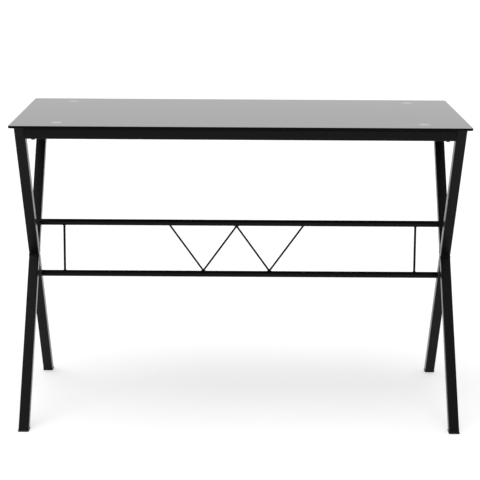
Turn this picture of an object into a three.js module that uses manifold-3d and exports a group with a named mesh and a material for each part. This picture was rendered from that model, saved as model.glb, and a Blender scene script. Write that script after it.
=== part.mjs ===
// A glass-topped computer desk on two crossed-leg side frames of square steel tube.
// Millimetres, +Z up, the front of the desk towards -Y, the origin on the floor under the middle of the desk.
import * as THREE from 'three';
import { mergeVertices } from 'three/addons/utils/BufferGeometryUtils.js';
import Module from 'manifold-3d';

const wasm = await Module();
wasm.setup();

// ---------------------------------------------------------------- driving dimensions

// Glass top
const deskHeight = 750;
const topWidth = 1100;
const topDepth = 550;
const topThickness = 6;
const topCornerRadius = 8;
const topArris = 0.8; // ground edge, above and below
const topOverhang = 12.5; // glass beyond the frame on all four sides

// Square tube of the legs and rails
const tube = 25;
const tubeWall = 1.5;
const tubeCorner = 2.5; // outer corner radius
const footSpread = 564; // over the feet, front to back, at the floor

// Rail fixing: a spigot on each leg slides into the rail's end and a bolt comes up from below
const spigotLength = 40;
const spigotWall = 3;
const spigotEndPlate = 2; // closes the spigot where it is welded to the leg
const railBoltInset = 19.5; // from the rail's end
const railBoltGrip = 8; // thread past the spigot's wall

// Stretcher truss between the side frames
const stretcherDiameter = 16;
const stretcherWall = 1.5;
const trussSpacing = 135; // between the stretchers' axes
const trussLift = 4; // middle of the truss above the crossing of the legs
const endRodDiameter = 6;
const endRodInset = 59.5; // from the stretchers' ends
const zigzagDiameter = 5;
const zigzagPitch = 85.5; // along the desk, from one bend to the next
const zigzagOffset = -8.5; // the zigzag is welded a little left of the middle
const zigzagInnerBend = 1; // radius inside its bends
const insertLength = 20;
const insertGrip = 14; // thread of the stretcher bolt inside the insert

// Glass fixing: metal discs bonded under the glass, screwed to tabs on the rails
const discDiameter = 28;
const discThickness = 5;
const discCap = 0.8; // metal left above the threaded hole
const discBond = 0.2; // adhesive
const discSideInset = 109; // from the glass's side edge
const discEdgeInset = 67; // from the glass's front or back edge
const tabWidth = 32;
const tabThickness = 3;

// Pads between the frame and the glass
const padThickness = 1.5;
const padLength = 28;
const padWidth = 12;
const padCorner = 2;
const padSpacing = 406;

// Feet
const footFlange = 3; // thickness of the flange under the tube's end
const footLip = 1; // flange beyond the tube
const footPlugLength = 20;

// M6 fasteners
const boltRadius = 3;
const boltClearance = 0.5; // all round, in a plain hole
const threadClearance = 0.2; // all round, in a threaded hole
const boltHeadRadius = 5.25;
const boltHeadHeight = 3.4;
const boltHeadRim = 1; // height of the head's straight edge
const boltTipChamfer = 0.8;

// Fits
const seat = 0.05; // between faces that rest on each other
const weldGap = 0.3; // between welded pieces
const slideFit = 0.3; // each side, between pieces that slide into each other

// Facets. A full circle is drawn with twice its number of curve segments.
const roundFacets = 24;
const roundSegments = roundFacets / 2;
const thinRodSegments = 6;
const boltFacets = 12;
const cornerSegments = 2;
const glassCornerSegments = 4;
const domeFacets = 3;
const bendFacets = 5;

// ---------------------------------------------------------------- sizes that follow

const glassBottom = deskHeight - topThickness;
const frameTop = glassBottom - padThickness;
const frameWidth = topWidth - 2 * topOverhang;
const frameDepth = topDepth - 2 * topOverhang;
const sideFrameX = frameWidth / 2 - tube / 2;
const innerX = frameWidth / 2 - tube; // inner face of a leg
const railHeight = frameTop - tube / 2;
const railY = frameDepth / 2 - tube / 2;
const tubeBore = tube - 2 * tubeWall;

// Each leg is cut level at both ends. Over its height it reaches from half the frame's depth at the top
// to half the foot spread at the floor, less the length of its own level cut.
const legReach = (footSpread + frameDepth) / 2;
const legLean = Math.acos(tube / Math.hypot(legReach, frameTop)) - Math.atan2(frameTop, legReach);
const legSlope = Math.tan(legLean);
const legStretch = 1 / Math.cos(legLean); // a level cut is longer than the tube by this factor
const legCut = tube * legStretch;
const crossingHeight = (footSpread / 2 - legCut / 2) / legSlope;

const boltHole = boltRadius + boltClearance;
const threadHole = boltRadius + threadClearance;

const stretcherRadius = stretcherDiameter / 2;
const trussY = (legSlope * trussSpacing) / 2;
const upperStretcherZ = crossingHeight + trussLift + trussSpacing / 2;
const lowerStretcherZ = crossingHeight + trussLift - trussSpacing / 2;

const discX = topWidth / 2 - discSideInset;
const discY = topDepth / 2 - discEdgeInset;
const discBottom = glassBottom - discBond - discThickness;
const tabTop = discBottom - seat;

// Middle of a leg, front to back, at a height. One leg of each side frame rises to the back,
// the other falls to the back.
const risingLegY = (z) => legSlope * (z - crossingHeight);
const fallingLegY = (z) => -risingLegY(z);

// ---------------------------------------------------------------- shape helpers

function roundedRectangle(width, depth, radius) {
  const x = width / 2 - radius;
  const y = depth / 2 - radius;
  const shape = new THREE.Shape();
  shape.absarc(x, y, radius, 0, Math.PI / 2);
  shape.absarc(-x, y, radius, Math.PI / 2, Math.PI);
  shape.absarc(-x, -y, radius, Math.PI, 1.5 * Math.PI);
  shape.absarc(x, -y, radius, 1.5 * Math.PI, 2 * Math.PI);
  shape.closePath();
  return shape;
}

// Rounded outside, square inside.
function squareTube(size, wall, corner) {
  const shape = roundedRectangle(size, size, corner);
  const half = size / 2 - wall;
  const corners = [[-half, -half], [-half, half], [half, half], [half, -half]];
  shape.holes.push(new THREE.Path(corners.map(([x, y]) => new THREE.Vector2(x, y))));
  return shape;
}

function circle(radius) {
  return new THREE.Shape().absarc(0, 0, radius, 0, 2 * Math.PI);
}

// Extrudes a section by one unit and moves every point (across, up, along) to the place that map gives.
function carry(section, map, curveSegments = cornerSegments, steps = 1) {
  const settings = { depth: 1, steps, curveSegments, bevelEnabled: false };
  const geometry = new THREE.ExtrudeGeometry(section, settings);
  const position = geometry.attributes.position;
  for (let i = 0; i < position.count; i += 1) {
    position.setXYZ(i, ...map(position.getX(i), position.getY(i), position.getZ(i)));
  }
  return geometry;
}

const mix = THREE.MathUtils.lerp;

function barAlongX(section, halfLength, y, z, segments) {
  return carry(section, (across, up, along) => (
    [mix(-halfLength, halfLength, along), y + across, z + up]
  ), segments);
}

// A solid of revolution about Z. Points are [radius, height], counter-clockwise around the section.
function turned(points, facets) {
  const profile = points.map(([radius, height]) => new THREE.Vector2(radius, height));
  return new THREE.LatheGeometry(profile, facets).rotateX(Math.PI / 2);
}

function rodAlongX(radius, fromX, toX, y, z) {
  return carry(circle(radius), (across, up, along) => (
    [mix(fromX, toX, along), y + across, z + up]
  ), roundSegments);
}

function rodAlongZ(radius, x, y, fromZ, toZ) {
  return carry(circle(radius), (across, up, along) => (
    [x + across, y + up, mix(fromZ, toZ, along)]
  ), roundSegments);
}

function solidOf(geometry) {
  const bare = geometry.clone();
  bare.deleteAttribute('normal');
  bare.deleteAttribute('uv');
  const merged = mergeVertices(bare);
  return new wasm.Manifold(new wasm.Mesh({
    numProp: 3,
    vertProperties: new Float32Array(merged.attributes.position.array),
    triVerts: new Uint32Array(merged.index.array),
  }));
}

function geometryOf(solid) {
  const mesh = solid.getMesh();
  const geometry = new THREE.BufferGeometry();
  geometry.setAttribute('position', new THREE.BufferAttribute(mesh.vertProperties, 3));
  geometry.setIndex(new THREE.BufferAttribute(mesh.triVerts, 1));
  return geometry;
}

function cut(geometry, ...tools) {
  return geometryOf(tools.reduce((solid, tool) => solid.subtract(solidOf(tool)), solidOf(geometry)));
}

function join(first, second) {
  return geometryOf(solidOf(first).add(solidOf(second)));
}

// ---------------------------------------------------------------- the desk

const desk = new THREE.Group();

const finishes = {
  powderCoat: { color: 0x17181a, roughness: 0.38, metalness: 0.1 },
  blackGlass: { color: 0x0b0c0e, roughness: 0.04, metalness: 0 },
  blackPlastic: { color: 0x121212, roughness: 0.6, metalness: 0 },
  blackZinc: { color: 0x1d1e20, roughness: 0.4, metalness: 0.7 },
  satinSteel: { color: 0xb4b6b8, roughness: 0.35, metalness: 0.9 },
  clearRubber: { color: 0x8c8f90, roughness: 0.5, metalness: 0 },
};

function place(name, geometry, finish, position = [0, 0, 0]) {
  const mesh = new THREE.Mesh(geometry, new THREE.MeshStandardMaterial(finishes[finish]));
  mesh.name = name;
  mesh.position.set(...position);
  desk.add(mesh);
  return mesh;
}

const sides = [['left', -1], ['right', 1]];
const ends = [['front', -1], ['back', 1]];

function glassTop() {
  const width = topWidth - 2 * topArris;
  const depth = topDepth - 2 * topArris;
  const outline = roundedRectangle(width, depth, topCornerRadius - topArris);
  const geometry = new THREE.ExtrudeGeometry(outline, {
    depth: topThickness - 2 * topArris,
    bevelThickness: topArris,
    bevelSize: topArris,
    bevelSegments: 1,
    curveSegments: glassCornerSegments,
  });
  place('glass_top', geometry, 'blackGlass', [0, 0, glassBottom + topArris]);
}

// A leg tube whose middle line follows legY, between two heights that may change across the tube.
function leg(section, legY, bottomZ, topZ) {
  return carry(section, (across, up, along) => {
    const offset = up * legStretch;
    const z = mix(bottomZ(offset), topZ(offset), along);
    return [across, legY(z) + offset, z];
  });
}

const legTube = squareTube(tube, tubeWall, tubeCorner);
const atFoot = () => footFlange + seat;
const atTop = () => frameTop;

// The two half legs stop at the faces of the long leg that they are welded to.
const jointOffset = legCut / 2 + weldGap * legStretch;
const aboveCrossing = (offset) => crossingHeight + (jointOffset - offset) / (2 * legSlope);
const belowCrossing = (offset) => crossingHeight - (jointOffset + offset) / (2 * legSlope);

function sideFrame(side, sign) {
  const x = sign * sideFrameX;
  const upperHole = rodAlongX(boltHole, -tube, tube, trussY, upperStretcherZ);
  const lowerHole = rodAlongX(boltHole, -tube, tube, trussY, lowerStretcherZ);
  const longLeg = cut(leg(legTube, fallingLegY, atFoot, atTop), lowerHole);
  const upperHalf = cut(leg(legTube, risingLegY, aboveCrossing, atTop), upperHole);
  const lowerHalf = leg(legTube, risingLegY, atFoot, belowCrossing);
  place(`${side}_long_leg`, longLeg, 'powderCoat', [x, 0, 0]);
  place(`${side}_upper_half_leg`, upperHalf, 'powderCoat', [x, 0, 0]);
  place(`${side}_lower_half_leg`, lowerHalf, 'powderCoat', [x, 0, 0]);
  place(`${side}_side_rail`, sideRail(), 'powderCoat', [x, 0, 0]);
  place(`${side}_front_foot`, foot(risingLegY), 'blackPlastic', [x, 0, 0]);
  place(`${side}_back_foot`, foot(fallingLegY), 'blackPlastic', [x, 0, 0]);
}

// Runs front to back between the tops of the two legs, its ends cut to their slopes.
function sideRail() {
  return carry(legTube, (across, up, along) => {
    const z = railHeight + across;
    return [up, mix(fallingLegY(z) + jointOffset, risingLegY(z) - jointOffset, along), z];
  });
}

// A plug inside the leg's end with a flange under it.
function foot(legY) {
  const flangeSize = tube + 2 * footLip;
  const flange = roundedRectangle(flangeSize, flangeSize, tubeCorner + footLip);
  const plugSize = tubeBore - 2 * slideFit;
  const plug = roundedRectangle(plugSize, plugSize, tubeCorner - tubeWall);
  return join(
    leg(flange, legY, () => 0, () => footFlange),
    leg(plug, legY, () => footFlange / 2, () => footFlange + footPlugLength),
  );
}

// Front or back rail with a bolt hole near each end, in its lower wall.
function crossRail(end, sign) {
  const holes = sides.map(([, side]) => (
    rodAlongZ(boltHole, side * (innerX - railBoltInset), 0, -tube, 0)
  ));
  const rail = barAlongX(legTube, innerX - weldGap, 0, 0);
  place(`${end}_rail`, cut(rail, ...holes), 'powderCoat', [0, sign * railY, railHeight]);
}

// Short tube welded to the leg that the rail slides over, threaded for the bolt from below.
// The leg leans away from the rail's lower corner, so a plate closes the spigot's outer end.
function railSpigot(side, sideSign, end, endSign) {
  const size = tubeBore - 2 * slideFit;
  const corner = tubeCorner - tubeWall;
  const tubePart = barAlongX(squareTube(size, spigotWall, corner), spigotLength / 2, 0, 0);
  const plate = barAlongX(roundedRectangle(size, size, corner), spigotEndPlate / 2, 0, 0);
  plate.translate((sideSign * (spigotLength - spigotEndPlate)) / 2, 0, 0);
  const bar = join(tubePart, plate);
  const holeX = sideSign * (spigotLength / 2 + weldGap - railBoltInset);
  const middleX = sideSign * (innerX - weldGap - spigotLength / 2);
  const geometry = cut(bar, rodAlongZ(threadHole, holeX, 0, -tube, 0));
  place(`${side}_${end}_rail_spigot`, geometry, 'powderCoat', [middleX, endSign * railY, railHeight]);
}

// Button-head bolt along Z: the head stands on z = 0 and the shank hangs below it.
function buttonBolt(length) {
  const dome = Array.from({ length: domeFacets }, (_, i) => {
    const angle = (Math.PI / 2) * (i / domeFacets);
    return [boltHeadRadius * Math.cos(angle), boltHeadRim + (boltHeadHeight - boltHeadRim) * Math.sin(angle)];
  });
  return turned([
    [0, -length],
    [boltRadius - boltTipChamfer, -length],
    [boltRadius, boltTipChamfer - length],
    [boltRadius, 0],
    [boltHeadRadius, 0],
    ...dome,
    [0, boltHeadHeight],
  ], boltFacets);
}

function placeBolt(name, length, position, outward) {
  const bolt = place(name, buttonBolt(length), 'blackZinc', position);
  bolt.quaternion.setFromUnitVectors(new THREE.Vector3(0, 0, 1), new THREE.Vector3(...outward));
}

function railBolt(side, sideSign, end, endSign) {
  const length = tubeWall + slideFit + spigotWall + railBoltGrip;
  const position = [sideSign * (innerX - railBoltInset), endSign * railY, frameTop - tube - seat];
  placeBolt(`${side}_${end}_rail_bolt`, length, position, [0, 0, -1]);
}

// Disc bonded to the glass, with a blind threaded hole from below.
function glassDisc(side, sideSign, end, endSign) {
  const radius = discDiameter / 2;
  const geometry = turned([
    [0, discThickness - discCap],
    [threadHole, discThickness - discCap],
    [threadHole, 0],
    [radius, 0],
    [radius, discThickness],
    [0, discThickness],
  ], roundFacets);
  place(`${side}_${end}_glass_disc`, geometry, 'satinSteel', [sideSign * discX, endSign * discY, discBottom]);
}

// Flat tab welded to the inner face of the rail, round at its free end, under the disc.
function glassTab(side, sideSign, end, endSign) {
  const radius = tabWidth / 2;
  const reach = railY - tube / 2 - weldGap - discY;
  const outline = new THREE.Shape();
  outline.moveTo(radius, reach);
  outline.lineTo(-radius, reach);
  outline.absarc(0, 0, radius, Math.PI, 2 * Math.PI);
  outline.closePath();
  outline.holes.push(circle(boltHole));
  const geometry = new THREE.ExtrudeGeometry(outline, {
    depth: tabThickness,
    curveSegments: roundSegments,
    bevelEnabled: false,
  });
  const position = [sideSign * discX, endSign * discY, tabTop - tabThickness];
  const tab = place(`${side}_${end}_glass_tab`, geometry, 'powderCoat', position);
  tab.rotation.z = endSign > 0 ? 0 : Math.PI;
}

function glassScrew(side, sideSign, end, endSign) {
  const length = tabThickness + seat + discThickness - discCap - slideFit;
  const position = [sideSign * discX, endSign * discY, tabTop - tabThickness - seat];
  placeBolt(`${side}_${end}_glass_screw`, length, position, [0, 0, -1]);
}

function pads() {
  const thickness = padThickness - 2 * seat;
  const pad = (length, width) => new THREE.ExtrudeGeometry(roundedRectangle(length, width, padCorner), {
    depth: thickness,
    curveSegments: cornerSegments,
    bevelEnabled: false,
  });
  const z = frameTop + seat;
  for (const [end, endSign] of ends) {
    place(`${end}_middle_pad`, pad(padLength, padWidth), 'clearRubber', [0, endSign * railY, z]);
    for (const [side, sideSign] of sides) {
      const position = [sideSign * padSpacing, endSign * railY, z];
      place(`${end}_${side}_pad`, pad(padLength, padWidth), 'clearRubber', position);
    }
  }
  for (const [side, sideSign] of sides) {
    place(`${side}_side_pad`, pad(padWidth, padLength), 'clearRubber', [sideSign * sideFrameX, 0, z]);
  }
}

function stretcher(name, z) {
  const section = circle(stretcherRadius);
  section.holes.push(circle(stretcherRadius - stretcherWall));
  place(name, barAlongX(section, innerX - weldGap, trussY, z, roundSegments), 'powderCoat');
}

// Threaded plug in the stretcher's end and the bolt that comes through the leg into it.
function stretcherFixing(side, sign, level, z) {
  const section = circle(stretcherRadius - stretcherWall - slideFit);
  section.holes.push(circle(threadHole));
  const geometry = barAlongX(section, insertLength / 2, 0, 0, roundSegments);
  const middleX = sign * (innerX - weldGap - insertLength / 2);
  place(`${side}_${level}_stretcher_insert`, geometry, 'satinSteel', [middleX, trussY, z]);
  const length = tube + seat + weldGap + insertGrip;
  const position = [sign * (frameWidth / 2 + seat), trussY, z];
  placeBolt(`${side}_${level}_stretcher_bolt`, length, position, [sign, 0, 0]);
}

// Space that the stretchers take up, with the weld gap around it.
function stretcherEnvelope(z) {
  return rodAlongX(stretcherRadius + weldGap, -innerX, innerX, trussY, z);
}

function endRod(side, sign) {
  const x = sign * (innerX - endRodInset);
  const rod = rodAlongZ(endRodDiameter / 2, x, trussY, lowerStretcherZ, upperStretcherZ);
  const geometry = cut(rod, stretcherEnvelope(lowerStretcherZ), stretcherEnvelope(upperStretcherZ));
  place(`${side}_end_rod`, geometry, 'powderCoat');
}

// Line through corners with each inner corner rounded to an arc.
function roundedLine(corners, radius) {
  const origin = new THREE.Vector2();
  const line = [corners[0]];
  for (let i = 1; i < corners.length - 1; i += 1) {
    const corner = corners[i];
    const back = corners[i - 1].clone().sub(corner).normalize();
    const onward = corners[i + 1].clone().sub(corner).normalize();
    const halfAngle = back.angleTo(onward) / 2;
    const toCentre = back.clone().add(onward).setLength(radius / Math.sin(halfAngle));
    const spoke = back.clone().multiplyScalar(radius / Math.tan(halfAngle)).sub(toCentre);
    const turn = (Math.PI - 2 * halfAngle) * Math.sign(onward.cross(back));
    for (let step = 0; step <= bendFacets; step += 1) {
      const turnedSpoke = spoke.clone().rotateAround(origin, (turn * step) / bendFacets);
      line.push(corner.clone().add(toCentre).add(turnedSpoke));
    }
  }
  line.push(corners[corners.length - 1]);
  return line;
}

// A round rod along a line in the plane of the truss, mitred at every point of the line.
function rodAlongLine(radius, line) {
  const directions = line.slice(1).map((point, i) => point.clone().sub(line[i]).normalize());
  const last = line.length - 1;
  const rings = line.map((point, i) => {
    const before = directions[Math.max(i - 1, 0)];
    const after = directions[Math.min(i, last - 1)];
    const tangent = before.clone().add(after).normalize();
    const widening = 1 / tangent.dot(after);
    return { point, normal: new THREE.Vector2(tangent.y, -tangent.x).multiplyScalar(widening) };
  });
  return carry(circle(radius), (across, up, along) => {
    const { point, normal } = rings[Math.round(along * last)];
    return [point.x + normal.x * across, trussY + up, point.y + normal.y * across];
  }, thinRodSegments, last);
}

// One rod bent into a W between the stretchers. Its bends touch them, and its ends are cut to the upper one.
function zigzag() {
  const radius = zigzagDiameter / 2;
  const bend = zigzagInnerBend + radius;
  const clear = stretcherRadius + weldGap + radius;
  const low = lowerStretcherZ + clear;
  const high = upperStretcherZ - clear;
  const halfAngle = Math.atan(zigzagPitch / (high - low));
  const overshoot = bend * (1 / Math.sin(halfAngle) - 1); // sharp corner beyond the arc
  const lowCorner = low - overshoot;
  const highCorner = high + overshoot;
  const endRise = upperStretcherZ - lowCorner;
  const endRun = zigzagPitch * (endRise / (highCorner - lowCorner));
  const corners = [
    [-zigzagPitch - endRun, upperStretcherZ],
    [-zigzagPitch, lowCorner],
    [0, highCorner],
    [zigzagPitch, lowCorner],
    [zigzagPitch + endRun, upperStretcherZ],
  ].map(([x, z]) => new THREE.Vector2(x + zigzagOffset, z));
  const rod = rodAlongLine(radius, roundedLine(corners, bend));
  place('zigzag_rod', cut(rod, stretcherEnvelope(upperStretcherZ)), 'powderCoat');
}

glassTop();
for (const [side, sign] of sides) {
  sideFrame(side, sign);
  endRod(side, sign);
  stretcherFixing(side, sign, 'upper', upperStretcherZ);
  stretcherFixing(side, sign, 'lower', lowerStretcherZ);
}
for (const [end, sign] of ends) {
  crossRail(end, sign);
}
for (const [side, sideSign] of sides) {
  for (const [end, endSign] of ends) {
    railSpigot(side, sideSign, end, endSign);
    railBolt(side, sideSign, end, endSign);
    glassDisc(side, sideSign, end, endSign);
    glassTab(side, sideSign, end, endSign);
    glassScrew(side, sideSign, end, endSign);
  }
}
pads();
stretcher('upper_stretcher', upperStretcherZ);
stretcher('lower_stretcher', lowerStretcherZ);
zigzag();

export default desk;
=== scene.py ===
# %% [markdown]
# # A glass-topped desk on crossed legs
# The desk is a sheet of black glass on two side frames of square steel tube. Two rails and a light truss of
# round tube hold the side frames upright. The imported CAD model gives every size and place, so it is loaded
# first and stays fixed. The cells below build the fine surfaces around it, in metres, in the same frame.

# %% Load the frame
import math

import bpy
import numpy as np
from mathutils import Matrix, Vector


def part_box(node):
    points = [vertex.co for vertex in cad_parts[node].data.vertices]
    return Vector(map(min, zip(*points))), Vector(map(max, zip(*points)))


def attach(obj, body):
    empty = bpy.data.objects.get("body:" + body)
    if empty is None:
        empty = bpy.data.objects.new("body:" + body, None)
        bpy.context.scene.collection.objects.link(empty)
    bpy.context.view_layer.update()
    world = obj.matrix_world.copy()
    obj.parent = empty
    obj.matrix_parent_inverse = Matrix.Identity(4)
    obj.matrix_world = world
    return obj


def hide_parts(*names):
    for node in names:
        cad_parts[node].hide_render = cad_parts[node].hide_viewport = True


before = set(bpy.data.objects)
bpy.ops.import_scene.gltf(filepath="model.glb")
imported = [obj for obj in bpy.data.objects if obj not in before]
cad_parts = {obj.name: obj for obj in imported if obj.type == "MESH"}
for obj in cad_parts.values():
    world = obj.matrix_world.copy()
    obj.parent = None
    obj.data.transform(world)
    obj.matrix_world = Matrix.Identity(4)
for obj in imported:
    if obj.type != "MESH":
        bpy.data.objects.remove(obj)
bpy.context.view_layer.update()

MM = 0.001

# %% [markdown]
# ## Camera
# A desk is usually shown from the front at standing eye level, from a few metres away, so that its uprights
# stay nearly parallel. A long lens does that. The camera could be aimed with a constraint, but turning it by
# three named angles keeps it free of anything that would have to be undone. It leans by a third of a degree.
# The small shift keeps the desk in the middle of the frame although the camera looks above its middle.

# %% The camera
def new_object(name, data):
    """An object at the origin that shows the data, put into the scene."""
    made = bpy.data.objects.new(name, data)
    bpy.context.scene.collection.objects.link(made)
    return made


def add_camera():
    """Turn about the vertical, then tip down from level, then lean about the line of sight."""
    data = bpy.data.cameras.new("camera")
    data.sensor_width = 36
    data.lens = 124.2
    data.shift_y = -0.083
    place = Matrix.Translation((-0.0074, -4.147, 1.2846))
    turn, down, aside = math.radians(-0.1), math.radians(10.38), math.radians(0.34)
    aim = Matrix.Rotation(turn, 4, "Z") @ Matrix.Rotation(math.pi / 2 - down, 4, "X")
    camera = new_object("camera", data)
    camera.matrix_world = place @ aim @ Matrix.Rotation(aside, 4, "Z")
    bpy.context.scene.camera = camera
    return camera


camera = add_camera()
print("camera at", tuple(round(v, 3) for v in camera.location), "lens", round(camera.data.lens, 1))

# %% [markdown]
# ## Node arithmetic
# A finish is a sum of a few patterns: broad unevenness, fine texture, wear where hands and cloths reach. In
# Blender each sum and product is a Math node, which is tedious to wire by hand. Wrapping a socket in a small
# class that understands + - and * lets the recipes below read like formulas. Everything that is not
# arithmetic goes through one method that takes a node's type, its settings and what its sockets get.

# %% The socket wrapper and the finish
class Value:
    """An output socket. Arithmetic on it adds the Math node that does the same."""

    def __init__(self, finish, socket):
        self.finish = finish
        self.socket = socket

    def math(self, operation, first, second):
        """A Math node on two values, each of them an output socket or a number."""
        return self.finish.node("ShaderNodeMath", {"operation": operation}, {0: first, 1: second})

    def __add__(self, other):
        return self.math("ADD", self, other)

    def __sub__(self, other):
        return self.math("SUBTRACT", self, other)

    def __mul__(self, other):
        return self.math("MULTIPLY", self, other)

    def __rsub__(self, other):
        return self.math("SUBTRACT", other, self)

    __radd__ = __add__
    __rmul__ = __mul__


class Recipe:
    """The nodes around one shader, of a material or of the world."""

    def __init__(self, owner, shader):
        owner.use_nodes = True
        self.owner = owner
        self.tree = owner.node_tree
        self.shader = self.tree.nodes[shader]

    def set(self, sockets):
        """Gives the shader's own sockets their values or links, and returns the material or the world."""
        for key, value in sockets.items():
            self.feed(self.shader.inputs[key], value)
        return self.owner

    def feed(self, socket, value):
        """Links a value that varies, and writes a plain one into the socket."""
        if isinstance(value, Value):
            self.tree.links.new(value.socket, socket)
        else:
            socket.default_value = value

    def node(self, kind, settings=None, sockets=None, output=0):
        """Adds a node, sets its settings first and its sockets after, and returns one of its outputs. The
        stops of a ramp count as a setting."""
        made = self.tree.nodes.new(kind)
        for key, value in (settings or {}).items():
            if key == "stops":
                self.set_stops(made.color_ramp, value)
            else:
                setattr(made, key, value)
        for key, value in (sockets or {}).items():
            self.feed(made.inputs[key], value)
        return Value(self, made.outputs[output])

    def set_stops(self, ramp, stops):
        """Each stop is a place from 0 to 1 and a grey level, joined by smooth curves. A new ramp has two."""
        ramp.interpolation = "EASE"
        for _ in stops[2:]:
            ramp.elements.new(0.5)
        for element, (position, level) in zip(ramp.elements, stops):
            element.position = position
            element.color = (level, level, level, 1)

    def place(self, scale=(1, 1, 1)):
        """The point on the piece in metres, in the frame of the desk. A scale squeezes the pattern."""
        here = self.node("ShaderNodeTexCoord", output="Object")
        return self.node("ShaderNodeMapping", None, {"Vector": here, "Scale": scale})

    def noise(self, place, size, detail=2.0, roughness=0.5):
        """Soft random blotches about size metres across, from 0 to 1."""
        sockets = {"Vector": place, "Scale": 1 / size, "Detail": detail, "Roughness": roughness}
        return self.node("ShaderNodeTexNoise", None, sockets, "Fac")

    def band(self, value, low, high):
        """0 below low, 1 above high, and a smooth step between."""
        sockets = {"Value": value, "From Min": low, "From Max": high}
        return self.node("ShaderNodeMapRange", {"interpolation_type": "SMOOTHSTEP"}, sockets)

    def blend(self, factor, first, second):
        """The first colour where factor is 0, the second where it is 1."""
        sockets = {0: factor, 6: (*first, 1) if isinstance(first, tuple) else first, 7: (*second, 1)}
        return self.node("ShaderNodeMix", {"data_type": "RGBA"}, sockets, 2)

    def bump(self, height, depth):
        """A normal for a surface that rises by depth metres where height is 1."""
        return self.node("ShaderNodeBump", None, {"Height": height, "Distance": depth})


class Finish(Recipe):
    """A material with one Principled shader. The edge attribute says where a piece is cut or cornered."""

    def __init__(self, name):
        super().__init__(bpy.data.materials.new(name), "Principled BSDF")

    def edge(self):
        """The piece's own edge attribute, or 0 on a piece that has none."""
        return self.node("ShaderNodeAttribute", {"attribute_name": "edge"}, output="Fac")


print("node helpers ready")

# %% [markdown]
# ## Powder coat
# The tubes are sprayed with black powder and baked. The film is satin, with a fine orange peel about a
# millimetre across, slightly uneven in gloss, and it wears a little lighter along the corners, where it lies
# thinnest. Pointiness could find the corners, but it needs a dense mesh and is slow to bake. The sweeps below
# know where their corners are, so they store it as an attribute, and the finish only reads it.

# %% Powder coat
def powder_coat():
    """Base colour = black, speckled by the peel and greyer on worn corners. Gloss and height = blotches plus
    orange peel."""
    finish = Finish("powder_coat")
    here = finish.place()
    uneven = finish.noise(here, 90 * MM, 3)
    peel = finish.noise(here, 1.3 * MM, 1)
    grit = finish.noise(here, 0.35 * MM, 1)
    worn = finish.band(finish.edge() * 0.55 + finish.noise(here, 12 * MM, 4) * 0.7, 0.62, 0.95)
    speckle = finish.band(peel * 0.7 + grit * 0.3, 0.40, 0.62)
    black = finish.blend(uneven * 0.4 + speckle * 0.6, (0.0014, 0.0015, 0.0017), (0.0058, 0.0060, 0.0063))
    return finish.set({
        "Base Color": finish.blend(worn * 0.55, black, (0.016, 0.016, 0.017)),
        "Roughness": 0.14 + uneven * 0.10 + peel * 0.10 + worn * 0.12,
        "Specular IOR Level": 0.09,
        "Normal": finish.bump(peel * 0.8 + grit * 0.2, 0.14 * MM),
    })


coat = powder_coat()
print("finish:", coat.name)

# %% [markdown]
# ## Black glass
# The top is clear tempered glass, 6 mm thick, with its underside painted black, so it looks black from above
# and mirrors the room at a low angle. A clear solid over a black sheet would be truest, but light then has to
# find its way through two faces, which is slow and noisy. A glossy black surface gives the same picture. The
# paint is thin over the four bonded discs, so they show as pale rounds. The ground edge is satin.

# %% Black glass
disc_low, disc_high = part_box("right_back_glass_disc")
disc_centre = (disc_low + disc_high) / 2
disc_radius = (disc_high.x - disc_low.x) / 2


def black_glass():
    """Distance to the nearest disc = length of (|x|, |y|) less the disc's centre; pale inside its radius."""
    finish = Finish("black_glass")
    here = finish.place()
    quarter = finish.node("ShaderNodeVectorMath", {"operation": "ABSOLUTE"}, {0: here})
    flat = finish.node("ShaderNodeVectorMath", {"operation": "MULTIPLY"}, {0: quarter, 1: (1, 1, 0)})
    centre = (disc_centre.x, disc_centre.y, 0)
    away = finish.node("ShaderNodeVectorMath", {"operation": "DISTANCE"}, {0: flat, 1: centre}, "Value")
    pale = 1 - finish.band(away, disc_radius - 1.5 * MM, disc_radius + 0.5 * MM)
    ground = finish.edge()
    smudge = finish.noise(here, 160 * MM, 5, 0.6)
    streak = finish.noise(finish.place((1, 6, 1)), 110 * MM, 3)
    black = finish.blend(smudge, (0.0022, 0.0025, 0.0029), (0.0040, 0.0044, 0.0050))
    shown = finish.blend(pale * (0.75 + streak * 0.4), black, (0.32, 0.325, 0.33))
    return finish.set({
        "Base Color": finish.blend(ground, shown, (0.0045, 0.0055, 0.0055)),
        "Metallic": ground,
        "Roughness": 0.018 + smudge * 0.030 + streak * 0.015 + ground * 0.26,
        "IOR": 1.52,
        "Normal": finish.bump(streak, 0.02 * MM),
    })


glass = black_glass()
print("finish:", glass.name, "with discs of radius", round(disc_radius, 4))

# %% [markdown]
# ## Small finishes
# The screws are blackened zinc: metal, dark, with brighter high spots where a key has turned. The bonded
# discs and the threaded inserts are bare turned steel, whose gloss changes in fine rings. Noise squeezed
# along one axis suggests them. The feet are moulded plastic with a spark-eroded grain, and the pads and the
# adhesive are clear, slightly cloudy rubber.

# %% Zinc, steel, plastic and rubber
def black_zinc():
    """Colour = dark patches, paler where the edge mark and a patch add up. Gloss = patches."""
    finish = Finish("black_zinc")
    here = finish.place()
    patch = finish.noise(here, 4 * MM, 4)
    rubbed = finish.band(finish.edge() * 0.5 + patch * 0.6, 0.55, 0.85)
    dark = finish.blend(patch, (0.020, 0.020, 0.022), (0.045, 0.045, 0.050))
    return finish.set({
        "Base Color": finish.blend(rubbed, dark, (0.16, 0.16, 0.165)),
        "Metallic": 1.0,
        "Roughness": 0.34 + patch * 0.16,
        "Normal": finish.bump(finish.noise(here, 0.4 * MM, 2), 0.02 * MM),
    })


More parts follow.
